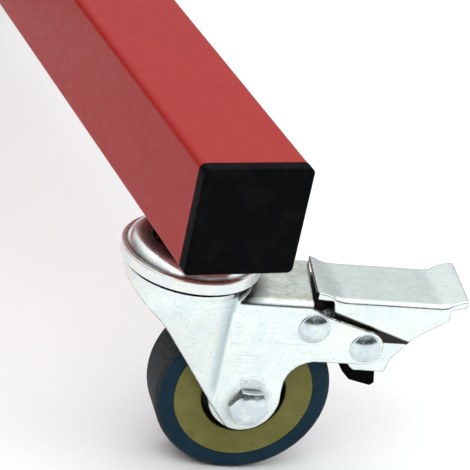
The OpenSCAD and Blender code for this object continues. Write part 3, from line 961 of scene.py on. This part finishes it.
tube_side = tube_high.z - tube_low.z
tube_x = (tube_low.x + tube_high.x) / 2
tube_z = (tube_low.z + tube_high.z) / 2
cap_depth = tube_low.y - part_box("end_cap_front_right")[0].y / MM
cap_mesh = mesh_of("moulded_cap", end_cap(tube_side, cap_depth))
for number, corner in enumerate(CORNERS):
    side = 1 if corner.endswith("right") else -1
    outward = -1 if corner.startswith("front") else 1
    turn = Matrix(((-outward, 0, 0), (0, 0, outward), (0, 1, 0))).to_4x4()
    turn.translation = Vector((side * tube_x, outward * tube_high.y, tube_z)) * MM
    set_piece(f"moulded_cap_{corner}", cap_mesh, "cap_plastic", "frame", [f"end_cap_{corner}"],
              turn, 0.0, number)

bead_mesh = mesh_of("weld_bead", weld_bead(tube_side - 1.5, 3))
beam_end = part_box("cross_beam")[1].x / MM
for number, (hand, side) in enumerate((("left", -1), ("right", 1))):
    turn = Matrix(((0, 0, 1), (1, 0, 0), (0, 1, 0))).to_4x4()
    turn.translation = Vector((side * beam_end, 0, tube_z)) * MM
    set_piece(f"weld_bead_{hand}", bead_mesh, "powder_coat", "frame", [], turn, None, number)

# The CAD nodes that are shown as they are, and the finish of each
CAD_FINISHES = {
    "runner_left": "powder_coat",
    "runner_right": "powder_coat",
    "cross_beam": "powder_coat",
    "stem_bolts": "zinc_fastener",
    "stem_nuts": "zinc_fastener",
    "stem_washers": "zinc_fastener",
    "swivel_balls": "ball_steel",
}
CAD_FINISHES.update({f"axle_bush_{corner}": "bush_steel" for corner in CORNERS})
for number, (node, finish) in enumerate(CAD_FINISHES.items()):
    shown = frame["nodes"][node]
    shown.data.materials.clear()
    shown.data.materials.append(FINISHES[finish])
    shown.pass_index = number


# ---- Floor, light and camera ----

def pale_floor():
    size = 8
    corners = [(-size, -size, 0), (size, -size, 0), (size, size, 0), (-size, size, 0)]
    mesh = bpy.data.meshes.new("floor")
    mesh.from_pydata(corners, [], [(0, 1, 2, 3)])
    floor = bpy.data.objects.new("floor", mesh)
    bpy.context.scene.collection.objects.link(floor)
    white = bpy.data.materials.new("floor_white")
    white.use_nodes = True
    shader = white.node_tree.nodes["Principled BSDF"]
    shader.inputs["Base Color"].default_value = (0.96, 0.96, 0.96, 1)
    shader.inputs["Roughness"].default_value = 0.9
    mesh.materials.append(white)


def studio_sky(behind, backdrop, room):
    """A soft studio: a lit backdrop in one direction and a dark room in the others, bright overhead.

    Each is a list of (height, brightness), from a height of 0, level and below, to 1, straight up.
    """
    world = bpy.data.worlds.new("studio")
    bpy.context.scene.world = world
    world.use_nodes = True
    nodes, links = world.node_tree.nodes, world.node_tree.links
    place = nodes.new("ShaderNodeTexCoord").outputs["Generated"]
    parts = nodes.new("ShaderNodeSeparateXYZ")
    towards = nodes.new("ShaderNodeVectorMath")
    towards.operation = "DOT_PRODUCT"
    towards.inputs[1].default_value = behind
    share = nodes.new("ShaderNodeMapRange")
    share.interpolation_type = "SMOOTHSTEP"
    share.inputs["From Min"].default_value = 0.05
    share.inputs["From Max"].default_value = 0.5
    both = nodes.new("ShaderNodeMix")
    both.data_type = "RGBA"
    links.new(place, parts.inputs[0])
    links.new(place, towards.inputs[0])
    links.new(towards.outputs["Value"], share.inputs["Value"])
    links.new(share.outputs["Result"], both.inputs[0])
    for side, levels in ((6, room), (7, backdrop)):
        ramp = nodes.new("ShaderNodeValToRGB")
        links.new(parts.outputs["Z"], ramp.inputs[0])
        links.new(ramp.outputs[0], both.inputs[side])
        while len(ramp.color_ramp.elements) < len(levels):
            ramp.color_ramp.elements.new(0.5)
        for element, (height, level) in zip(ramp.color_ramp.elements, levels):
            element.position = height
            element.color = (level * 0.97, level * 1.01, level * 1.02, 1)
    links.new(both.outputs[2], nodes["Background"].inputs["Color"])


def soft_box(name, at, aim, size, power):
    """A rectangular lamp at a place, aimed at a point, with its power in watts."""
    light = bpy.data.lights.new(name, "AREA")
    light.shape = "RECTANGLE"
    light.size, light.size_y = size
    light.energy = power
    lamp = bpy.data.objects.new(name, light)
    lamp.location = at
    lamp.rotation_euler = (Vector(aim) - Vector(at)).to_track_quat("-Z", "Y").to_euler()
    bpy.context.scene.collection.objects.link(lamp)


def set_camera(aim, azimuth, elevation, roll, distance, lens):
    """A camera a distance from the point that it looks at, with its angles in degrees.

    The azimuth is round +z from +x, the elevation is above the floor, and the roll is about the view.
    """
    a, e = math.radians(azimuth), math.radians(elevation)
    back = Vector((math.cos(a) * math.cos(e), math.sin(a) * math.cos(e), math.sin(e)))
    camera = bpy.data.objects.new("camera", bpy.data.cameras.new("camera"))
    facing = (-back).to_track_quat("-Z", "Y").to_matrix().to_4x4()
    tilt = Matrix.Rotation(math.radians(roll), 4, "Z")
    camera.matrix_world = Matrix.Translation(aim + back * distance) @ facing @ tilt
    camera.data.lens = lens
    bpy.context.scene.collection.objects.link(camera)
    bpy.context.scene.camera = camera


pale_floor()
studio_sky(behind=(0.75, 0.66, 0),
           backdrop=[(0, 0.8), (0.02, 0.4), (0.25, 0.62), (0.46, 0.77), (0.7, 1.2), (1, 1.6)],
           room=[(0, 0.8), (0.02, 0.04), (0.34, 0.08), (0.52, 0.6), (0.7, 1.2), (1, 1.6)])
focus = placements["front_right"].translation
soft_box("key", focus + Vector((-0.7, -0.9, 1.6)), focus, (1.2, 1.2), 8)
soft_box("fill", focus + Vector((1.2, -0.6, 0.9)), focus, (0.9, 0.9), 2.2)
bpy.context.scene.view_settings.view_transform = "Standard"
set_camera(focus + Vector((0.016, -0.0053, 0.1152)), azimuth=-117.8, elevation=27.55, roll=12.46,
           distance=1.067, lens=188.4)
